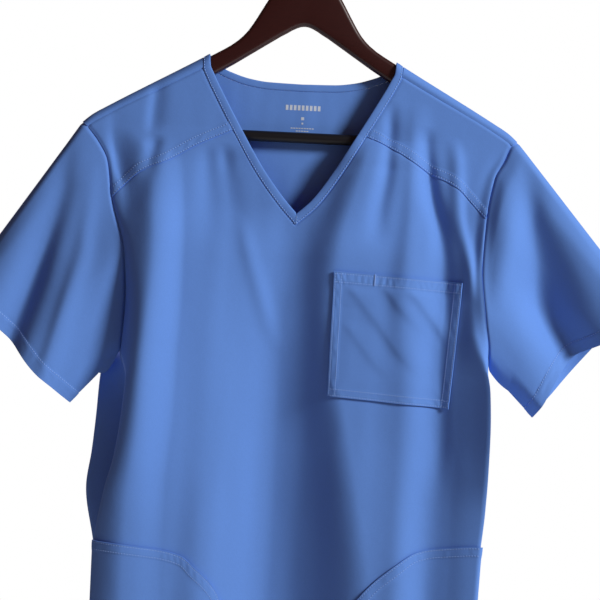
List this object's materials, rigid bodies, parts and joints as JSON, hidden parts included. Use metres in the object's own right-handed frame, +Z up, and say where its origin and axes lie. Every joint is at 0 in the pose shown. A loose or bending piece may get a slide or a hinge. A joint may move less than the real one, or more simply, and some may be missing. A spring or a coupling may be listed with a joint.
{
  "type": "medical scrub top on a wooden clothes hanger",
  "caption": "Short-sleeved V-neck scrub top with front yokes, a chest patch pocket and two lower pockets, hung on a flat wooden hanger with a trouser bar.",
  "frame": {"origin": "inner top of the hanger's hook, where a rail carries it", "axes": "+Z up, -Y towards the garment's front, +X towards the wearer's left"},
  "size_m": [0.685, 0.1013, 0.844],
  "materials": {
    "scrub_cloth": "matt fine twill, polyester and cotton",
    "neck_binding": "matt fine twill, folded double",
    "stained_wood": "dark mahogany stain under satin lacquer",
    "black_bar": "satin black",
    "plated_steel": "bright nickel plate"
  },
  "bodies": {
    "root": {"front_body": "scrub_cloth", "back_body": "scrub_cloth", "front_yoke_left": "scrub_cloth", "front_yoke_right": "scrub_cloth", "sleeve_left": "scrub_cloth", "sleeve_right": "scrub_cloth", "chest_pocket": "scrub_cloth", "lower_pocket_left": "scrub_cloth", "lower_pocket_right": "scrub_cloth", "neckband_front_left": "neck_binding", "neckband_front_right": "neck_binding", "neckband_back": "neck_binding", "hanger_frame": "stained_wood", "hanger_bar": "black_bar", "hanger_hook": "plated_steel"}
  },
  "joints": []
}
